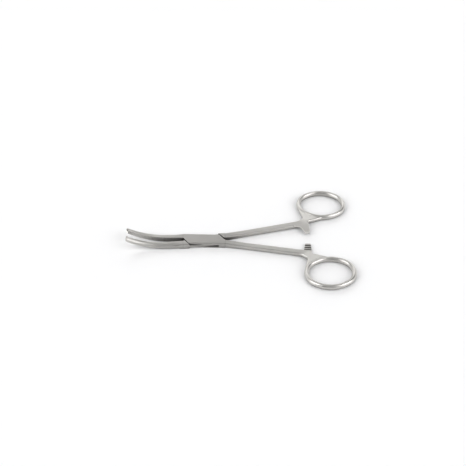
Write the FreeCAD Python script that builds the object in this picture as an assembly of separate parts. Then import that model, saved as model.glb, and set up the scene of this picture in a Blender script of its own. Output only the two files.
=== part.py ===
import FreeCAD
import Part
import math
import os
from FreeCAD import Vector

# Curved artery forceps: two forged halves joined by a box lock and a flush pivot pin.
# Millimetres. +X runs from the pivot to the finger rings, +Y across, +Z up.
# The origin is on the pivot's axis, level with the underside of the box lock.
# Each half is drawn as it lies with the jaws shut, then swung to the rest opening.

# Opening at rest, in degrees, counted from jaws shut
rest_opening = 6.36

# Box lock
box_width = 8.1
box_thickness = 4.1
box_reach = 13.0
box_edge_radius = 0.8
shoulder_inner = 12.2
shoulder_outer = 9.0
slot_height = 1.64
slot_clearance = 0.06
shoulder_clearance = 0.12
wall_clearance = 0.15
crotch_gap = 0.24
root_inset = 0.08

# Pivot pin, pressed into the box plates and turning in the tongue
pin_radius = 1.1
pin_clearance = 0.03

# Jaws: half-round bars that run straight, then bend upwards
jaw_straight = 22.2
jaw_bend_radius = 47.5
jaw_bend_angle = 32.4
jaw_root_gap = 0.9
jaw_tip_gap = 0.06
jaw_round_start = 19.0
jaw_width = 3.65
jaw_height = 3.9
jaw_back_share = 0.66
jaw_tip_width = 2.4
jaw_tip_height = 3.0
jaw_edge_break = 0.22
tip_edge_radius = 0.45
tip_face_tilt = 12.0
tip_turn_length = 5.9
jaw_back_flat = 0.12
root_steps = 3
bend_steps = 5

# Cross serrations on the gripping faces
serration_pitch = 0.9
serration_depth = 0.24
serration_start = 14.6
serration_lead = 0.54

# Interlocking tip teeth: one on the box half's jaw, two on the other
tip_tooth_height = 0.8
tip_tooth_spread = 1.0
tip_tooth_length = 1.3
tip_tooth_clearance = 0.07
tip_tooth_margin = 0.12

# Shanks: curved out of the lock, then straight
shank_width = 3.8
shank_thickness = 3.0
shank_edge_radius = 0.9
shank_start_x = 28.7
shank_start_y = 4.24
shank_end_x = 58.5
shank_end_y = 8.5

# Finger rings: oval tubes on an oval middle line
ring_near_x = 62.45
ring_center_y = 24.3
ring_length = 28.6
ring_breadth = 21.8
ring_end_radius = 9.3
ring_splay = -5.5
ring_tube_width = 2.9
ring_tube_height = 3.8

# Web between shank, ratchet and ring
web_flare_x = 59.8
web_flare_y = 10.65
web_flare_radius = 5.0
web_notch_x = 63.4
web_notch_y = 13.3
web_notch_radius = 1.2
web_ring_edge = 9.6
web_ring_radius = 1.0
web_limb_angle = 203.0
web_side_angle = 264.0
web_arm_rise = 0.6

# Ratchet arms
ratchet_pitch = 1.8
ratchet_teeth = 3
ratchet_tooth_height = 0.6
ratchet_crest_gap = 0.1
ratchet_steep_share = 0.2
ratchet_right = 66.2
ratchet_overlap = 0.25
arm_start_y = 0.2
arm_root_y = 6.3
arm_embed = 1.0
arm_tip_right = 65.8
box_arm_tip_left = 62.4
box_arm_root_left = 61.5
tongue_arm_tip_left = 63.2
tongue_arm_tip_slant = 0.7
tongue_arm_root_left = 56.8
tongue_arm_hollow_x = 60.8
tongue_arm_hollow_y = 5.2
tongue_arm_hollow_radius = 2.2

# Worked out from the sizes above
mid = box_thickness / 2
half_box = box_width / 2
half_slot = slot_height / 2
tongue_thickness = slot_height - 2 * slot_clearance
shoulder_slant = (shoulder_inner - shoulder_outer) / half_box
jaw_length = jaw_straight + jaw_bend_radius * math.radians(jaw_bend_angle)
shank_slope = (shank_end_y - shank_start_y) / (shank_end_x - shank_start_x)
ring_center = Vector(ring_near_x + ring_length / 2, ring_center_y, 0)
clear_of_part = 3 * box_width
upright = Vector(0, 0, 1)
circle_pull = 0.5523


def plate(points, low, high):
    """A flat plate between two heights, with its outline given by corner points."""
    corners = [Vector(p[0], p[1], low) for p in points]
    outline = Part.makePolygon(corners + [corners[0]])
    return Part.Face(outline).extrude(Vector(0, 0, high - low))


def bezier(poles):
    curve = Part.BezierCurve()
    curve.setPoles(poles)
    return curve.toShape()


def quarter(start, corner, end):
    """A quarter of an ellipse that rounds off a corner, as a smooth cubic curve."""
    first = start + (corner - start) * circle_pull
    second = end + (corner - end) * circle_pull
    return bezier([start, first, second, end])


def line(start, end):
    return Part.LineSegment(start, end).toShape()


def between(value, low, high):
    """Share of the way from low to high, eased at both ends."""
    share = min(1.0, max(0.0, (value - low) / (high - low)))
    return share * share * (3 - 2 * share)


def mix(first, second, share):
    return first + (second - first) * share


# Jaw geometry

def jaw_path(distance):
    """Point and tilt of the jaw's middle line, measured along it from the pivot."""
    if distance <= jaw_straight:
        return Vector(-distance, 0, mid), 0.0
    tilt = (distance - jaw_straight) / jaw_bend_radius
    x = -jaw_straight - jaw_bend_radius * math.sin(tilt)
    z = mid + jaw_bend_radius * (1 - math.cos(tilt))
    return Vector(x, 0, z), tilt


def jaw_upward(distance):
    """Upward direction in the jaw's cross-section, turning upright towards the tip."""
    tilt = jaw_path(distance)[1]
    turn = between(distance, jaw_length - tip_turn_length, jaw_length)
    leaning = mix(tilt, math.radians(tip_face_tilt), turn)
    return Vector(math.sin(leaning), 0, math.cos(leaning))


def jaw_point(distance, side, across, up):
    """Point on the jaw: across from the shut line and up in the cross-section."""
    return jaw_path(distance)[0] + Vector(0, side * across, 0) + jaw_upward(distance) * up


def jaw_inner(distance):
    """Distance of the gripping face from the shut line."""
    share = (distance - box_reach) / (jaw_length - box_reach)
    return mix(jaw_root_gap, jaw_tip_gap, share) / 2


def jaw_sizes(distance):
    """Width, height and back rounding of the jaw's section."""
    rounding = between(distance, box_reach, jaw_round_start)
    taper = max(0.0, (distance - jaw_round_start) / (jaw_length - jaw_round_start))
    root_width = half_box - root_inset - jaw_inner(box_reach)
    width = mix(mix(root_width, jaw_width, rounding), jaw_tip_width, taper)
    root_height = box_thickness - 2 * root_inset
    height = mix(mix(root_height, jaw_height, rounding), jaw_tip_height, taper)
    round_across = mix(box_edge_radius, jaw_back_share * width, rounding)
    round_up = mix(box_edge_radius, height / 2 - jaw_back_flat, rounding)
    return width, height, round_across, round_up


def jaw_section(distance, side):
    width, height, round_across, round_up = jaw_sizes(distance)
    near = jaw_inner(distance)
    far = near + width
    top = height / 2

    def at(across, up):
        return jaw_point(distance, side, across, up)

    break_in = jaw_edge_break
    edges = [
        line(at(near, break_in - top), at(near, top - break_in)),
        line(at(near, top - break_in), at(near + break_in, top)),
        line(at(near + break_in, top), at(far - round_across, top)),
        quarter(at(far - round_across, top), at(far, top), at(far, top - round_up)),
        line(at(far, top - round_up), at(far, round_up - top)),
        quarter(at(far, round_up - top), at(far, -top), at(far - round_across, -top)),
        line(at(far - round_across, -top), at(near + break_in, -top)),
        line(at(near + break_in, -top), at(near, break_in - top)),
    ]
    return Part.Wire(edges)


def jaw_blank(side):
    root = [mix(box_reach, jaw_round_start, n / root_steps) for n in range(root_steps)]
    bend = [mix(jaw_round_start, jaw_length, n / bend_steps) for n in range(bend_steps + 1)]
    sections = [jaw_section(distance, side) for distance in root + bend]
    blank = Part.makeLoft(sections, True)
    end_point = jaw_path(jaw_length)[0]
    inward = Vector(0, 1, 0).cross(jaw_upward(jaw_length))
    reach = jaw_tip_height
    end_edges = [
        edge for edge in blank.Edges
        if all((v.Point - end_point).dot(inward) < 0.001 for v in edge.Vertexes)
        and side * edge.CenterOfMass.y > jaw_inner(jaw_length) + jaw_tip_width / 4
        and edge.Length < reach
    ]
    return blank.makeFillet(tip_edge_radius, end_edges)


def serration_cutters(side, offset):
    """V grooves across the gripping face, square to the jaw's middle line."""
    cutters = []
    distance = jaw_length - tip_tooth_length - serration_lead - serration_pitch * offset
    half = serration_pitch / 2
    while distance > serration_start:
        face_in = jaw_inner(distance)
        reach = jaw_height
        outside = serration_depth
        step = half * (serration_depth + outside) / serration_depth
        corners = [
            jaw_point(distance + step, side, face_in - outside, -reach),
            jaw_point(distance, side, face_in + serration_depth, -reach),
            jaw_point(distance - step, side, face_in - outside, -reach),
        ]
        rise = jaw_point(distance, side, 0, reach) - jaw_point(distance, side, 0, -reach)
        outline = Part.makePolygon(corners + [corners[0]])
        cutters.append(Part.Face(outline).extrude(rise))
        distance -= serration_pitch
    return cutters


def tip_prism(profile, start, length):
    """Prism along the jaw's tip; the profile gives (up, y) pairs."""
    base, tilt = jaw_path(jaw_length)
    inward = Vector(math.cos(tilt), 0, -math.sin(tilt))
    upward = jaw_upward(jaw_length)
    corners = [base + upward * up + Vector(0, y, 0) + inward * start for up, y in profile]
    outline = Part.makePolygon(corners + [corners[0]])
    return Part.Face(outline).extrude(inward * length)


def tooth_line(shift, reach):
    """Zigzag in (up, y) that parts the two jaws at the tip."""
    shoulder = tip_tooth_height / 2
    return [
        (-reach, shoulder + shift),
        (-tip_tooth_spread, tip_tooth_height + shift),
        (0, shift - tip_tooth_height),
        (tip_tooth_spread, tip_tooth_height + shift),
        (reach, shoulder + shift),
    ]


def tip_teeth(jaw, side):
    """Cuts and adds the interlocking teeth at the end of one jaw."""
    shift = side * tip_tooth_clearance
    within = jaw_tip_height / 2 - tip_tooth_margin
    beyond = jaw_tip_height
    back = side * (tip_tooth_height + 2 * tip_tooth_clearance)
    added = tooth_line(shift, within) + [(within, back), (-within, back)]
    front = -side * clear_of_part
    removed = tooth_line(shift, beyond) + [(beyond, front), (-beyond, front)]
    teeth = tip_prism(added, 0, tip_tooth_length)
    gap = tip_prism(removed, -tip_tooth_length, 2 * tip_tooth_length)
    return jaw.cut(gap).fuse(teeth)


def make_jaw(side, offset):
    jaw = jaw_blank(side).cut(serration_cutters(side, offset))
    return tip_teeth(jaw, side)


# Shank, web and ring, drawn for the +Y side and mirrored for the other

def shank_edge(x, side):
    """y of the straight shank's inner (-1) or outer (+1) edge at one x."""
    half = shank_width / 2 * math.sqrt(1 + shank_slope ** 2)
    return shank_start_y + shank_slope * (x - shank_start_x) + side * half


def shank_curve(side, root_y):
    """Edge of the shank from the lock to where it runs straight."""
    halfway = (box_reach + shank_start_x) / 2
    return bezier([
        Vector(box_reach, root_y, 0),
        Vector(halfway, shank_edge(halfway, side), 0),
        Vector(shank_start_x, shank_edge(shank_start_x, side), 0),
    ])


def oval_arcs(half_length, half_breadth, end_radius):
    """Centre, radius, first angle and sweep of the four arcs of an oval along X."""
    square = half_length ** 2 + half_breadth ** 2 - 2 * half_length * end_radius
    side_radius = square / (2 * (half_breadth - end_radius))
    end_x = half_length - end_radius
    side_y = side_radius - half_breadth
    turn = math.degrees(math.atan2(side_y, end_x))
    return [
        (Vector(end_x, 0, 0), end_radius, -turn, 2 * turn),
        (Vector(0, -side_y, 0), side_radius, turn, 180 - 2 * turn),
        (Vector(-end_x, 0, 0), end_radius, 180 - turn, 2 * turn),
        (Vector(0, side_y, 0), side_radius, 180 + turn, 180 - 2 * turn),
    ]


def heading(angle):
    return Vector(math.cos(math.radians(angle)), math.sin(math.radians(angle)), 0)


def ring_arcs():
    return oval_arcs(ring_length / 2, ring_breadth / 2, ring_end_radius)


def ring_point(angle, outset):
    """Point where the ring's middle line, or a line set out from it, faces one way."""
    for center, radius, first, sweep in ring_arcs():
        if (angle - ring_splay - first) % 360 <= sweep:
            return ring_center + turned(center) + heading(angle) * (radius + outset)


def turned(point):
    """A point of the ring's own plan, turned by the ring's splay."""
    return heading(ring_splay) * point.x + heading(ring_splay + 90) * point.y


def ring_offset(point):
    """How far a point lies outside the ring's middle line."""
    for center, radius, first, sweep in ring_arcs():
        spoke = point - ring_center - turned(center)
        angle = math.degrees(math.atan2(spoke.y, spoke.x))
        if (angle - ring_splay - first) % 360 <= sweep:
            return math.hypot(spoke.x, spoke.y) - radius


def rounded_corner(before, corner, after, radius):
    """Start, middle and end of an arc that rounds a corner."""
    first = (before - corner).normalize()
    second = (after - corner).normalize()
    half = math.acos(first.dot(second)) / 2
    reach = radius / math.tan(half)
    start = corner + first * reach
    end = corner + second * reach
    bisector = (first + second).normalize()
    center = corner + bisector * (radius / math.sin(half))
    middle = center - bisector * radius
    return start, middle, end


def arc(start, middle, end):
    return Part.Arc(start, middle, end).toShape()


def side_profile():
    """Side view of shank and web: thick at the lock, tapering to an even thickness."""
    root = box_thickness / 2 - root_inset
    thin = shank_thickness / 2
    halfway = (box_reach + shank_start_x) / 2
    far = ring_center.x + ring_length

    def at(x, up):
        return Vector(x, -clear_of_part, mid + up)

    edges = [
        bezier([at(box_reach, root), at(halfway, thin), at(shank_start_x, thin)]),
        line(at(shank_start_x, thin), at(far, thin)),
        line(at(far, thin), at(far, -thin)),
        line(at(far, -thin), at(shank_start_x, -thin)),
        bezier([at(shank_start_x, -thin), at(halfway, -thin), at(box_reach, -root)]),
        line(at(box_reach, -root), at(box_reach, root)),
    ]
    return Part.Face(Part.Wire(edges)).extrude(Vector(0, 3 * clear_of_part, 0))


def rounded_plate_edges(blank):
    """The plate's long upper and lower edges, without those that other forms cover."""
    chosen = []
    for edge in blank.Edges:
        box = edge.BoundBox
        middle = edge.CenterOfMass
        stands = box.ZLength > shank_thickness / 2
        crosswise = box.XLength < 0.001
        under_arm = shank_end_x < middle.x < ratchet_right and middle.y < web_ring_edge - arm_embed
        if not (stands or crosswise or under_arm) and ring_offset(middle) > ring_tube_width / 2:
            chosen.append(edge)
    return chosen


def grip_plate():
    """Shank and web, cut from one plate and rounded along their edges."""
    root_in = crotch_gap / 2
    root_out = half_box - root_inset
    start_in = Vector(shank_start_x, shank_edge(shank_start_x, -1), 0)
    start_out = Vector(shank_start_x, shank_edge(shank_start_x, 1), 0)
    end_in = Vector(shank_end_x, shank_edge(shank_end_x, -1), 0)
    arm_root = Vector(ratchet_right, end_in.y + web_arm_rise, 0)
    ring_root = Vector(ratchet_right, web_ring_edge, 0)
    flare_corner = Vector(web_flare_x, web_flare_y, 0)
    notch_corner = Vector(web_notch_x, web_notch_y, 0)
    tube = ring_tube_width / 2
    side_out = ring_point(web_side_angle, tube)
    side_mid = ring_point(web_side_angle, 0)
    lower_mid = ring_point((web_side_angle + web_limb_angle) / 2, 0)
    limb_mid = ring_point(web_limb_angle, 0)
    limb_out = ring_point(web_limb_angle, tube)
    ring_in = rounded_corner(arm_root, ring_root, side_out, web_ring_radius)
    notch = rounded_corner(limb_out, notch_corner, flare_corner, web_notch_radius)
    flare = rounded_corner(notch_corner, flare_corner, start_out, web_flare_radius)
    edges = [
        shank_curve(-1, root_in),
        line(start_in, end_in),
        line(end_in, arm_root),
        line(arm_root, ring_in[0]),
        arc(ring_in[0], ring_in[1], ring_in[2]),
        line(ring_in[2], side_out),
        line(side_out, side_mid),
        arc(side_mid, lower_mid, limb_mid),
        line(limb_mid, limb_out),
        line(limb_out, notch[0]),
        arc(notch[0], notch[1], notch[2]),
        line(notch[2], flare[0]),
        arc(flare[0], flare[1], flare[2]),
        line(flare[2], start_out),
        shank_curve(1, root_out),
        line(Vector(box_reach, root_out, 0), Vector(box_reach, root_in, 0)),
    ]
    outline = Part.Face(Part.Wire(edges))
    blank = outline.extrude(Vector(0, 0, box_thickness)).common(side_profile()).Solids[0]
    return blank.makeFillet(shank_edge_radius, rounded_plate_edges(blank))


def tube_section():
    """Oval section of the ring's tube, taller than wide."""
    top = Vector(0, 0, ring_tube_height / 2)
    outer = Vector(ring_tube_width / 2, 0, 0)
    return Part.Face(Part.Wire(Part.Ellipse(top, outer, Vector(0, 0, 0)).toShape()))


def make_ring():
    """Oval tube turned round the four arcs of the ring's middle line."""
    pieces = []
    for center, radius, first, sweep in ring_arcs():
        section = tube_section()
        section.translate(Vector(radius, 0, 0))
        section.rotate(Vector(0, 0, 0), upright, first)
        section.translate(center)
        pieces.append(section.revolve(center, upright, sweep))
    ring = pieces[0].multiFuse(pieces[1:])
    ring.rotate(Vector(0, 0, 0), upright, ring_splay)
    ring.translate(ring_center + upright * mid)
    return ring


# Ratchet arms, drawn on the +Y side with their teeth up

def ratchet_cutters(tip):
    """Prisms that leave saw teeth along an arm, and a pocket behind the last."""
    crest = mid - ratchet_crest_gap / 2
    valley = crest - ratchet_tooth_height
    above = crest + ratchet_tooth_height
    steep = ratchet_steep_share * ratchet_pitch
    left = shank_end_x - shank_width
    width = ratchet_right - left + shank_width
    profiles = []
    for number in range(ratchet_teeth):
        start = tip + number * ratchet_pitch
        end = start + ratchet_pitch - steep
        profiles.append([(start - steep, above), (start - steep, crest), (start, valley),
                         (end, crest), (end, above)])
    start = tip + ratchet_teeth * ratchet_pitch
    back = web_ring_edge
    profiles.append([(start - steep, above), (start - steep, crest), (start, valley),
                     (back, valley), (back, above)])
    cutters = []
    for profile in profiles:
        corners = [Vector(left, y, z) for y, z in profile]
        outline = Part.makePolygon(corners + [corners[0]])
        cutters.append(Part.Face(outline).extrude(Vector(width, 0, 0)))
    return cutters


def arm_blank(edges):
    low = mid - shank_thickness / 2
    height = shank_thickness / 2 - ratchet_crest_gap / 2
    outline = Part.Face(Part.Wire(edges))
    outline.translate(Vector(0, 0, low))
    return outline.extrude(Vector(0, 0, height))


def box_arm():
    """Straight-sided arm of the box half, lying low with its teeth up."""
    corners = [
        Vector(box_arm_root_left, arm_root_y, 0),
        Vector(box_arm_tip_left, arm_start_y, 0),
        Vector(arm_tip_right, arm_start_y, 0),
        Vector(ratchet_right, arm_root_y, 0),
        Vector(ratchet_right, web_ring_edge - arm_embed, 0),
        Vector(box_arm_root_left, web_ring_edge - arm_embed, 0),
    ]
    edges = [line(a, b) for a, b in zip(corners, corners[1:] + corners[:1])]
    return arm_blank(edges).cut(ratchet_cutters(arm_start_y))


def tongue_arm():
    """Hooked arm of the tongue half, lying high with its teeth down."""
    tip = -arm_start_y - ratchet_overlap
    tip_left = Vector(tongue_arm_tip_left, tip, 0)
    tip_right = Vector(arm_tip_right, tip + tongue_arm_tip_slant, 0)
    shank_side = Vector(tongue_arm_root_left, shank_edge(tongue_arm_root_left, -1), 0)
    hollow_corner = Vector(tongue_arm_hollow_x, tongue_arm_hollow_y, 0)
    hollow = rounded_corner(tip_left, hollow_corner, shank_side, tongue_arm_hollow_radius)
    inside_left = shank_side + Vector(0, shank_width / 2, 0)
    inside_right = Vector(ratchet_right, web_ring_edge - arm_embed, 0)
    right_side = Vector(ratchet_right, tip_right.y + 2 * tongue_arm_tip_slant, 0)
    edges = [
        line(tip_left, tip_right),
        line(tip_right, right_side),
        line(right_side, inside_right),
        line(inside_right, inside_left),
        line(inside_left, shank_side),
        line(shank_side, hollow[2]),
        arc(hollow[2], hollow[1], hollow[0]),
        line(hollow[0], tip_left),
    ]
    arm = arm_blank(edges).cut(ratchet_cutters(tip))
    return arm.mirror(Vector(0, 0, mid), upright)


# Box lock

def shoulder_x(y, shift):
    """x of the left-hand shoulder line at one y; the other is the same turned half round."""
    return -shoulder_inner - shoulder_slant * y - shift


def along_x(clearance):
    """Shift along X that opens a clearance measured square to a shoulder line."""
    return clearance * math.sqrt(1 + shoulder_slant ** 2)


def lock_bar():
    bar = Part.makeBox(2 * box_reach, box_width, box_thickness,
                       Vector(-box_reach, -half_box, 0))
    long_edges = [edge for edge in bar.Edges if edge.BoundBox.XLength > box_reach]
    return bar.makeFillet(box_edge_radius, long_edges)


def box_lock():
    """Upper and lower plates with the through slot between them."""
    over = box_width
    jaw_side = jaw_root_gap / 2
    ring_side = -crotch_gap / 2
    outline = [
        (-box_reach, jaw_side), (shoulder_x(jaw_side, 0), jaw_side),
        (shoulder_x(-over, 0), -over), (box_reach, -over), (box_reach, ring_side),
        (-shoulder_x(-ring_side, 0), ring_side), (-shoulder_x(-over, 0), over),
        (-box_reach, over),
    ]
    return lock_bar().common(plate(outline, 0, box_thickness))


def slot():
    """The tongue's way through the box half, open along both sides."""
    over = box_width
    end = shoulder_inner + along_x(wall_clearance)
    far = 2 * box_reach
    slant = shoulder_slant * over
    outline = [
        (-end, 0), (slant - end, over), (far, over), (far, 0),
        (end, 0), (end - slant, -over), (-far, -over), (-far, 0),
    ]
    return plate(outline, mid - half_slot, mid + half_slot)


def tongue_lock():
    """Full-thickness shoulders joined by the thin tongue between the plates."""
    over = box_width
    shift = along_x(shoulder_clearance)
    jaw_side = -jaw_root_gap / 2
    ring_side = crotch_gap / 2
    jaw_root = [
        (-box_reach, jaw_side), (-box_reach, -over), (shoulder_x(-over, shift), -over),
        (shoulder_x(jaw_side, shift), jaw_side),
    ]
    ring_root = [
        (box_reach, ring_side), (box_reach, over), (-shoulder_x(-over, shift), over),
        (-shoulder_x(-ring_side, shift), ring_side),
    ]
    inside = (box_reach + shoulder_inner) / 2
    tongue = [
        (-inside, jaw_side), (-shoulder_inner, jaw_side), (-shoulder_inner, 0),
        (-shoulder_outer, half_box), (inside, half_box), (inside, ring_side),
        (shoulder_inner, ring_side), (shoulder_inner, 0), (shoulder_outer, -half_box),
        (-inside, -half_box),
    ]
    bar = lock_bar()
    half = tongue_thickness / 2
    shoulders = bar.common(plate(jaw_root, 0, box_thickness)).fuse(
        bar.common(plate(ring_root, 0, box_thickness)))
    return shoulders.fuse(plate(tongue, mid - half, mid + half))


def pin_bore(radius):
    return Part.makeCylinder(radius, box_thickness)


def mirrored(shape):
    return shape.mirror(Vector(0, 0, 0), Vector(0, 1, 0))


def swung(shape, angle):
    moved = shape.copy()
    moved.rotate(Vector(0, 0, 0), upright, angle)
    return moved


def one_solid(shapes):
    joined = shapes[0].multiFuse(shapes[1:]).removeSplitter()
    return joined.Solids[0] if len(joined.Solids) == 1 else joined


def make_box_half():
    """Far jaw, slotted box, near shank and ring, with the low ratchet arm."""
    grip = [mirrored(shape) for shape in (grip_plate(), make_ring(), box_arm())]
    half = one_solid([box_lock(), make_jaw(1, 0.0)] + grip)
    return half.cut([slot(), pin_bore(pin_radius)])


def make_tongue_half():
    """Near jaw, tongue, far shank and ring, with the high ratchet arm."""
    parts = [tongue_lock(), make_jaw(-1, 0.5), grip_plate(), make_ring(), tongue_arm()]
    return one_solid(parts).cut(pin_bore(pin_radius + pin_clearance))


def make_pin():
    return pin_bore(pin_radius)


def save(name, shape):
    shape.exportStep(os.path.join("parts", name + ".step"))
    box = shape.BoundBox
    print(name, "valid", shape.isValid(), "solids", len(shape.Solids), "faces", len(shape.Faces),
          "volume", round(shape.Volume, 2), "x", round(box.XMin, 2), round(box.XMax, 2),
          "y", round(box.YMin, 2), round(box.YMax, 2), "z", round(box.ZMin, 2), round(box.ZMax, 2))


os.makedirs("parts", exist_ok=True)
save("box_half", swung(make_box_half(), -rest_opening / 2))
save("tongue_half", swung(make_tongue_half(), rest_opening / 2))
save("pivot_pin", make_pin())
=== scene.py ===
import math

import bpy
from mathutils import Matrix, Vector

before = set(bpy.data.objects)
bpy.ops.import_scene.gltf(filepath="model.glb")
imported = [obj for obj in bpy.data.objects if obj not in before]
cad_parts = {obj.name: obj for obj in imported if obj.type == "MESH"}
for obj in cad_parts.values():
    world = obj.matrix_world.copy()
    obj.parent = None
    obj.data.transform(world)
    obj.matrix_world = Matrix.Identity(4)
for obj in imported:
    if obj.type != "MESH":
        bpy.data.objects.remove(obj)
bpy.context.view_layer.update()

# Satin stainless steel forceps on a white studio table. Lengths are metres.

# Camera, set to the photograph's viewing angle
view_yaw = math.radians(1.872)
view_elevation = math.radians(47.105)
view_distance = 0.5199
view_target = Vector((0.01807, 0.00605, 0.00205))
view_lens = 64.374

# Big diffusers round the table: compass angle and height in degrees, strength
diffuser_width = math.radians(45)
diffusers = {
    "right_low": (0, 14, 0.35),
    "back_right_low": (45, 14, 0.35),
    "back_left_low": (135, 14, 0.15),
    "left_low": (180, 14, 0.25),
    "back": (90, 40, 0.62),
    "back_left": (135, 40, 0.4),
    "front_left": (212, 40, 1.45),
    "front_right": (328, 40, 1.4),
    "above": (270, 68, 0.35),
}

# The room is white at the horizon and dark from this height up (sine of the angle)
dark_height = 0.45

# White table: half its side, and its colour
floor_half = 1.5
floor_color = (0.96, 0.96, 0.965, 1.0)

# Steel: plain colour, and the share of it that each kind of place has
steel_color = (0.67, 0.655, 0.627)
bright_share = 1.04
dull_share = 0.88
matte_share = 0.76
worn_share = 1.15
# Share in hollows, under and between parts and in grooves: painted shade
painted_shade_share = 0.22

# Roughness: how far it wavers, and how much less worn edges and finger rings have
rough_spread = 0.08
worn_smoothing = 0.08
ring_smoothing = 0.10

# Noise scales, in cells per metre: blasted grain, and cloudy patches of tone and gloss
grain_scale = 8000.0
patch_scale = 110.0

# The polishing lines are this many times longer than wide
line_stretch = 16.0

# Height of lines and grain, how much of it shows, and the grain's share beside the lines
relief_depth = 0.00001
relief_strength = 0.5
grain_share = 0.5

# Highlights stretch this far, at a quarter turn from the lines
highlight_stretch = 0.85
quarter_turn = 0.25

# How far a point looks round itself for walls, which bring painted shade, and through the metal
# for edges
hollow_distance = 0.005
groove_distance = 0.0009
rim_distance = 0.0006

# Each pair from here on says where an effect is whole and where it has faded out.
# Openness is 1 on a plain face and falls towards 0 in a hollow or at a sharp edge.
# Painted shade in hollows and grooves is whole at the first openness and gone at the second
hollow_openness = (0.3, 0.95)
groove_openness = (0.65, 1.0)
worn_openness = (0.55, 0.95)

# Finger rings, whose polish runs round them; the far one mirrors the near one
ring_center = (0.0753, 0.0285, 0.0)
ring_mean_radius = 0.0125
ring_reach = (0.0174, 0.0222)

# The box lock keeps its matte finish, round the pin's axis; hands polish the rest
matte_reach = (0.010, 0.030)

# The pin is ground flush, so no worn edge shows near its axis
flush_reach = (0.0018, 0.0026)


def make_camera():
    data = bpy.data.cameras.new("camera")
    data.sensor_width = 36.0
    data.lens = view_lens
    data.clip_start = 0.01
    camera = bpy.data.objects.new("camera", data)
    bpy.context.scene.collection.objects.link(camera)
    sin_e, cos_e = math.sin(view_elevation), math.cos(view_elevation)
    sin_y, cos_y = math.sin(view_yaw), math.cos(view_yaw)
    right = Vector((cos_y, -sin_y, 0))
    up = Vector((sin_y * sin_e, cos_y * sin_e, cos_e))
    back = Vector((-sin_y * cos_e, -cos_y * cos_e, sin_e))
    turn = Matrix((right, up, back)).transposed().to_4x4()
    camera.matrix_world = Matrix.Translation(view_target + back * view_distance) @ turn
    bpy.context.scene.camera = camera


# Light and floor

def make_diffuser(name, compass, height_angle, strength):
    data = bpy.data.lights.new(name, "SUN")
    data.angle = diffuser_width
    data.energy = strength
    light = bpy.data.objects.new(name, data)
    bpy.context.scene.collection.objects.link(light)
    around, above = math.radians(compass), math.radians(height_angle)
    direction = Vector((math.cos(around) * math.cos(above),
                        math.sin(around) * math.cos(above), math.sin(above)))
    light.matrix_world = (-direction).to_track_quat("-Z", "Y").to_matrix().to_4x4()


def make_world():
    world = bpy.data.worlds.new("studio")
    bpy.context.scene.world = world
    world.use_nodes = True
    tree = world.node_tree
    background = tree.nodes["Background"]
    background.inputs["Color"].default_value = (1.0, 1.0, 1.0, 1.0)
    direction = tree.nodes.new("ShaderNodeTexCoord").outputs["Generated"]
    parts = tree.nodes.new("ShaderNodeSeparateXYZ")
    fade = tree.nodes.new("ShaderNodeMapRange")
    fade.inputs["From Max"].default_value = dark_height
    fade.inputs["To Min"].default_value = 1.0
    fade.inputs["To Max"].default_value = 0.0
    tree.links.new(direction, parts.inputs["Vector"])
    tree.links.new(parts.outputs["Z"], fade.inputs["Value"])
    tree.links.new(fade.outputs["Result"], background.inputs["Strength"])


def make_floor():
    mesh = bpy.data.meshes.new("floor")
    square = ((-1, -1), (1, -1), (1, 1), (-1, 1))
    corners = [(x * floor_half, y * floor_half, 0) for x, y in square]
    mesh.from_pydata(corners, [], [(0, 1, 2, 3)])
    floor = bpy.data.objects.new("floor", mesh)
    bpy.context.scene.collection.objects.link(floor)
    material = bpy.data.materials.new("white_table")
    material.use_nodes = True
    shader = material.node_tree.nodes["Principled BSDF"]
    shader.inputs["Base Color"].default_value = floor_color
    shader.inputs["Roughness"].default_value = 0.8
    shader.inputs["Specular IOR Level"].default_value = 0.2
    mesh.materials.append(material)


# Materials

class Surface:
    """A material's shader, and short ways to add the nodes that feed it."""

    def __init__(self, name):
        self.material = bpy.data.materials.new(name)
        self.material.use_nodes = True
        self.tree = self.material.node_tree
        self.shader = self.tree.nodes["Principled BSDF"]
        self.place = self.node("ShaderNodeTexCoord").outputs["Object"]

    def node(self, kind, inputs=(), **settings):
        made = self.tree.nodes.new(kind)
        for name, value in settings.items():
            setattr(made, name, value)
        for name, value in dict(inputs).items():
            self.put(value, made.inputs[name])
        return made

    def put(self, value, socket):
        if isinstance(value, bpy.types.NodeSocket):
            self.tree.links.new(value, socket)
        else:
            socket.default_value = value

    def vector(self, operation, first, second=None):
        made = self.node("ShaderNodeVectorMath", {0: first}, operation=operation)
        if second is not None:
            self.put(second, made.inputs[1])
        return made.outputs[0]

    def math(self, operation, *values):
        return self.node("ShaderNodeMath", enumerate(values), operation=operation).outputs[0]

    def noise(self, place, scale, detail, **more):
        inputs = {"Vector": place, "Scale": scale, "Detail": detail}
        return self.node("ShaderNodeTexNoise", inputs, **more)

    def openness(self, reach, samples, **more):
        """1 where nothing is nearer than reach, less where walls or edges are."""
        inputs = {"Distance": reach}
        made = self.node("ShaderNodeAmbientOcclusion", inputs, samples=samples, **more)
        return made.outputs["AO"]

    def ranged(self, value, low, high, to_low, to_high):
        made = self.node("ShaderNodeMapRange", {
            "Value": value, "From Min": low, "From Max": high,
            "To Min": to_low, "To Max": to_high})
        return made.outputs["Result"]

    def fading(self, value, reach):
        """1 up to the first number of reach, falling to 0 at the second."""
        return self.ranged(value, *reach, 1.0, 0.0)

    def mixed(self, share, first, second):
        made = self.node("ShaderNodeMix", {"Factor": share, "A": first, "B": second})
        return made.outputs["Result"]

    def tinted(self, share, first, second):
        made = self.node("ShaderNodeMix", {0: share, 6: first, 7: second}, data_type="RGBA")
        return made.outputs[2]

    def level(self, place):
        return self.vector("MULTIPLY", place, (1.0, 1.0, 0.0))

    def level_distance(self, place):
        flat = self.level(place)
        return self.node("ShaderNodeVectorMath", {0: flat}, operation="LENGTH").outputs["Value"]


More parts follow.
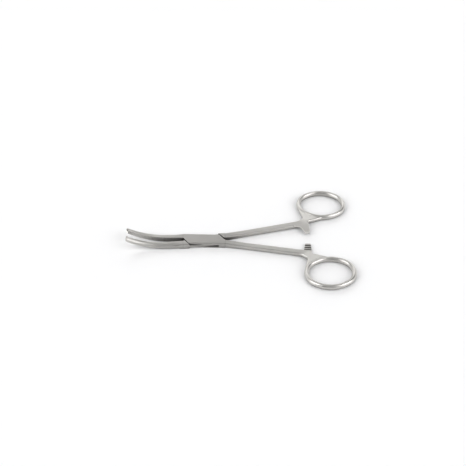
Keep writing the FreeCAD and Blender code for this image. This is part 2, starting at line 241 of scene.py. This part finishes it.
def ring_spoke(surface):
    """Level vector from the nearer ring's centre, its length, and where the rings are."""
    folded = surface.vector("ABSOLUTE", surface.place)
    spoke = surface.level(surface.vector("SUBTRACT", folded, ring_center))
    reach = surface.level_distance(spoke)
    return spoke, reach, surface.fading(reach, ring_reach)


def polish_lines(surface, spoke, reach, in_ring, fineness):
    """Fine lines along the shanks and jaws, and round the finger rings."""
    detail = 3.0
    along = surface.vector("MULTIPLY", surface.place, (1 / line_stretch, 1.0, 1.0))
    straight = surface.noise(along, fineness, detail).outputs["Fac"]
    circle = surface.node("ShaderNodeVectorMath", {
        0: surface.vector("NORMALIZE", spoke), "Scale": ring_mean_radius / line_stretch},
        operation="SCALE").outputs[0]
    height = surface.vector("MULTIPLY", surface.place, (0.0, 0.0, 1.0))
    round_place = surface.vector("ADD", circle, height)
    round_lines = surface.noise(round_place, fineness, detail, noise_dimensions="4D")
    surface.put(reach, round_lines.inputs["W"])
    return surface.mixed(in_ring, straight, round_lines.outputs["Fac"])


def polish_direction(surface, spoke, in_ring):
    """Direction of the polishing: along the shanks and jaws, and round the rings."""
    side = surface.vector("MULTIPLY", surface.vector("SIGN", surface.place), (0.0, 1.0, 0.0))
    true_spoke = surface.vector("MULTIPLY", spoke, surface.vector("ADD", side, (1.0, 0.0, 0.0)))
    around = surface.vector("NORMALIZE", surface.vector("CROSS_PRODUCT", (0, 0, 1), true_spoke))
    blend = surface.node("ShaderNodeMix", {0: in_ring, 4: (1.0, 0.0, 0.0), 5: around},
                         data_type="VECTOR").outputs[1]
    turn = surface.node("ShaderNodeVectorTransform", {"Vector": blend}, vector_type="VECTOR",
                        convert_from="OBJECT", convert_to="WORLD")
    return turn.outputs["Vector"]


def shade(share):
    """The steel's colour times share, opaque."""
    return [part * share for part in steel_color] + [1.0]


def steel_tone(surface, lines, patches, worn, from_pin):
    """Base colour: patches and lines, then worn edges, the matte lock, and painted shade in
    hollows and grooves.
    """
    # Painted shade: darker where walls or nearby parts are close, and in grooves
    hollow = surface.fading(surface.openness(hollow_distance, samples=12), hollow_openness)
    groove = surface.fading(surface.openness(groove_distance, samples=8), groove_openness)
    painted_shade = surface.math("MAXIMUM", hollow, groove)
    patched = surface.ranged(patches, 0.3, 0.7, 0.0, 1.0)
    lined = surface.ranged(lines, 0.4, 0.7, 0.0, 0.8)
    matte = surface.fading(from_pin, matte_reach)
    tone = surface.tinted(patched, shade(dull_share), shade(bright_share))
    tone = surface.tinted(lined, tone, shade(dull_share))
    tone = surface.tinted(worn, tone, shade(worn_share))
    tone = surface.tinted(matte, tone, shade(matte_share))
    return surface.tinted(painted_shade, tone, shade(painted_shade_share))


def steel_roughness(surface, lines, patches, worn, in_ring, roughness):
    """Roughness: uneven with the lines and patches, and less on edges and rings."""
    wavering = surface.math("MULTIPLY_ADD", lines, 0.5, patches)
    low, high = roughness - rough_spread, roughness + rough_spread
    rough = surface.ranged(wavering, 0.5, 1.0, low, high)
    rough = surface.math("MULTIPLY_ADD", worn, -worn_smoothing, rough)
    return surface.math("MULTIPLY_ADD", in_ring, -ring_smoothing, rough)


def steel(name, roughness, fineness):
    """Satin steel with blasted grain and polishing lines."""
    surface = Surface(name)
    spoke, reach, in_ring = ring_spoke(surface)
    lines = polish_lines(surface, spoke, reach, in_ring, fineness)
    grain = surface.noise(surface.place, grain_scale, detail=2.0).outputs["Fac"]
    patches = surface.noise(surface.place, patch_scale, detail=4.0).outputs["Fac"]
    from_pin = surface.level_distance(surface.place)
    off_pin = surface.ranged(from_pin, *flush_reach, 0.0, 1.0)
    rim = surface.openness(rim_distance, samples=8, inside=True)
    worn = surface.math("MULTIPLY", surface.fading(rim, worn_openness), off_pin)
    relief = surface.math("MULTIPLY_ADD", grain, grain_share, lines)
    bump = surface.node("ShaderNodeBump", {
        "Strength": relief_strength, "Distance": relief_depth, "Height": relief})

    finish = {
        "Base Color": steel_tone(surface, lines, patches, worn, from_pin),
        "Roughness": steel_roughness(surface, lines, patches, worn, in_ring, roughness),
        "Normal": bump.outputs["Normal"],
        "Tangent": polish_direction(surface, spoke, in_ring),
        "Anisotropic": highlight_stretch,
        "Anisotropic Rotation": quarter_turn,
        "Metallic": 1.0,
    }
    for socket, value in finish.items():
        surface.put(value, surface.shader.inputs[socket])
    return surface.material


def dress(node, material):
    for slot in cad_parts[node].material_slots:
        slot.material = material


satin_steel = steel("satin_steel_surface", roughness=0.42, fineness=3600.0)
pin_steel = steel("pin_steel_surface", roughness=0.41, fineness=5000.0)
dress("box_half", satin_steel)
dress("tongue_half", satin_steel)
dress("pivot_pin", pin_steel)

make_camera()
make_world()
make_floor()
for name, (compass, height_angle, strength) in diffusers.items():
    make_diffuser(name, compass, height_angle, strength)
bpy.context.scene.view_settings.view_transform = "Standard"
